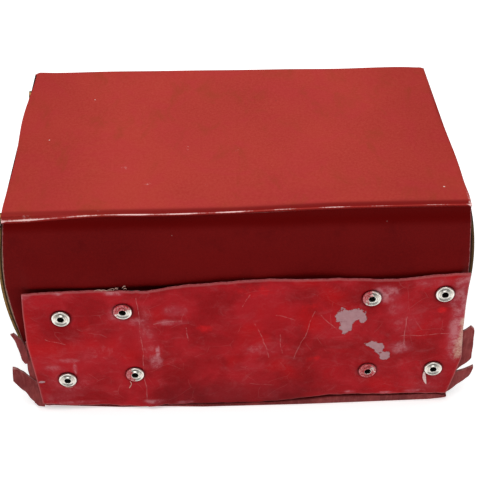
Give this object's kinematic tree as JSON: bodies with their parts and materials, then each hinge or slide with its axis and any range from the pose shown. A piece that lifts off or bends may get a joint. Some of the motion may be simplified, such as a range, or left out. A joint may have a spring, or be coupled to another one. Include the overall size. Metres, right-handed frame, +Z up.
{
  "type": "box camera",
  "caption": "Box camera in worn red leathercloth, lying on its side, with a loose leather flap, a riveted band, bowed ends, a hinged back and a winding key.",
  "frame": {"origin": "mouth of the tripod bush, at the centre of the face the camera rests on", "axes": "+X from the lens end to the back door, +Y to the side with the handle, key and finder window (uppermost in use), +Z up as the camera lies"},
  "size_m": [0.1567, 0.1045, 0.081],
  "materials": {
    "board": "bare pasteboard and thin wood, matt",
    "front_wood": "plain light wood",
    "red_cloth": "matt brick-red leathercloth, worn along its edges",
    "wine_leather": "smooth dark wine leather with a pale cut edge",
    "crimson_leather": "glossy crimson leather, creased and flaked",
    "handle_leather": "dark red leather, stitched",
    "rivet_nickel": "dull nickel plate, tarnished",
    "plate_steel": "dull steel sheet",
    "bright_steel": "bright steel",
    "dark_enamel": "glossy dark brown enamel",
    "black_paint": "matt black paint",
    "brass": "aged brass",
    "nickel": "nickel plate",
    "glass": "clear glass",
    "red_glass": "deep red window",
    "mirror": "silvered mirror",
    "spool_wood": "turned wood"
  },
  "bodies": {
    "camera_body": {"top_board": "board", "base_board": "board", "near_board": "board", "far_board": "board", "top_cover": "red_cloth", "far_cover": "red_cloth", "base_cover": "red_cloth", "near_flap": "wine_leather", "strap_band": "crimson_leather", "band_rivets": "rivet_nickel", "anchor_plate_left": "plate_steel", "anchor_plate_right": "plate_steel", "torn_corner_left": "wine_leather", "torn_corner_right": "wine_leather", "front_board": "front_wood", "front_cover": "dark_enamel", "cover_screws": "brass", "lens_mount": "black_paint", "lens_bezel": "brass", "lens": "glass", "lens_retainer": "brass", "shutter_plate": "plate_steel", "shutter_pivots": "bright_steel", "shutter_spring": "bright_steel", "finder_box": "black_paint", "finder_lens": "glass", "finder_lens_frame": "brass", "finder_mirror": "mirror", "finder_glass": "glass", "finder_window_frame": "brass", "cone_flat_walls": "black_paint", "cone_side_walls": "black_paint", "film_gate": "black_paint", "carrier_plate_upper": "black_paint", "carrier_plate_lower": "black_paint", "spool_pins": "bright_steel", "spool_brakes": "bright_steel", "key_bush": "brass", "hinge_leaf_body": "nickel", "hinge_pin": "bright_steel", "handle_strap": "handle_leather", "handle_keepers": "brass", "tripod_bush": "brass"},
    "back": {"back_door": "dark_enamel", "door_light_trap": "black_paint", "door_clips": "bright_steel", "window_plate": "nickel", "red_window": "red_glass", "hinge_leaf_door": "nickel"},
    "window_cover": {"window_slide": "brass"},
    "disc": {"shutter_disc": "black_paint"},
    "lever": {"shutter_lever": "nickel"},
    "stops": {"aperture_slide": "nickel"},
    "time_stop": {"time_slide": "nickel"},
    "key_sleeve": {"key_guide": "nickel"},
    "key": {"winding_key": "nickel"},
    "takeup": {"takeup_spool": "spool_wood"},
    "supply": {"supply_spool": "spool_wood"},
    "roller_left": {"film_roller_left": "bright_steel"},
    "roller_right": {"film_roller_right": "bright_steel"}
  },
  "joints": [
    {"name": "door_swing", "type": "hinge", "parent": "camera_body", "child": "back", "pos_m": [0.0702, 0.0442, 0.0405], "axis": [0, 0, 1], "range_deg": [0, 100]},
    {"name": "window_cover_slide", "type": "slide", "parent": "back", "child": "window_cover", "axis": [0, -1, 0], "range_m": [0, 0.015]},
    {"name": "key_pull", "type": "slide", "parent": "camera_body", "child": "key_sleeve", "axis": [0, 1, 0], "range_m": [0, 0.006]},
    {"name": "key_turn", "type": "hinge", "parent": "key_sleeve", "child": "key", "pos_m": [-0.03, 0.0446, 0.0155], "axis": [0, 1, 0], "continuous": true},
    {"name": "takeup_spin", "type": "hinge", "parent": "camera_body", "child": "takeup", "pos_m": [-0.03, 0, 0.0155], "axis": [0, 1, 0], "continuous": true},
    {"name": "supply_spin", "type": "hinge", "parent": "camera_body", "child": "supply", "pos_m": [-0.03, 0, 0.0655], "axis": [0, 1, 0], "continuous": true},
    {"name": "roller_left_spin", "type": "hinge", "parent": "camera_body", "child": "roller_left", "pos_m": [0.0518, 0, 0.072], "axis": [0, 1, 0], "continuous": true},
    {"name": "roller_right_spin", "type": "hinge", "parent": "camera_body", "child": "roller_right", "pos_m": [0.0518, 0, 0.009], "axis": [0, 1, 0], "continuous": true},
    {"name": "lever_press", "type": "hinge", "parent": "camera_body", "child": "lever", "pos_m": [-0.0643, 0.024, 0.022], "axis": [1, 0, 0], "range_deg": [0, 30], "stiffness_Nm_per_rad": 0.004, "springref_deg": -17.19},
    {"name": "disc_turn", "type": "hinge", "parent": "camera_body", "child": "disc", "pos_m": [-0.0632, 0, 0.029], "axis": [1, 0, 0], "range_deg": [-110, 0]},
    {"name": "stops_slide", "type": "slide", "parent": "camera_body", "child": "stops", "axis": [0, 1, 0], "range_m": [0, 0.024]},
    {"name": "time_stop_slide", "type": "slide", "parent": "camera_body", "child": "time_stop", "axis": [0, 1, 0], "range_m": [0, 0.006]}
  ],
  "couplings": [
    {"joint": "takeup_spin", "follows": "key_turn", "ratio": 1},
    {"joint": "disc_turn", "follows": "lever_press", "ratio": -3.6666}
  ]
}
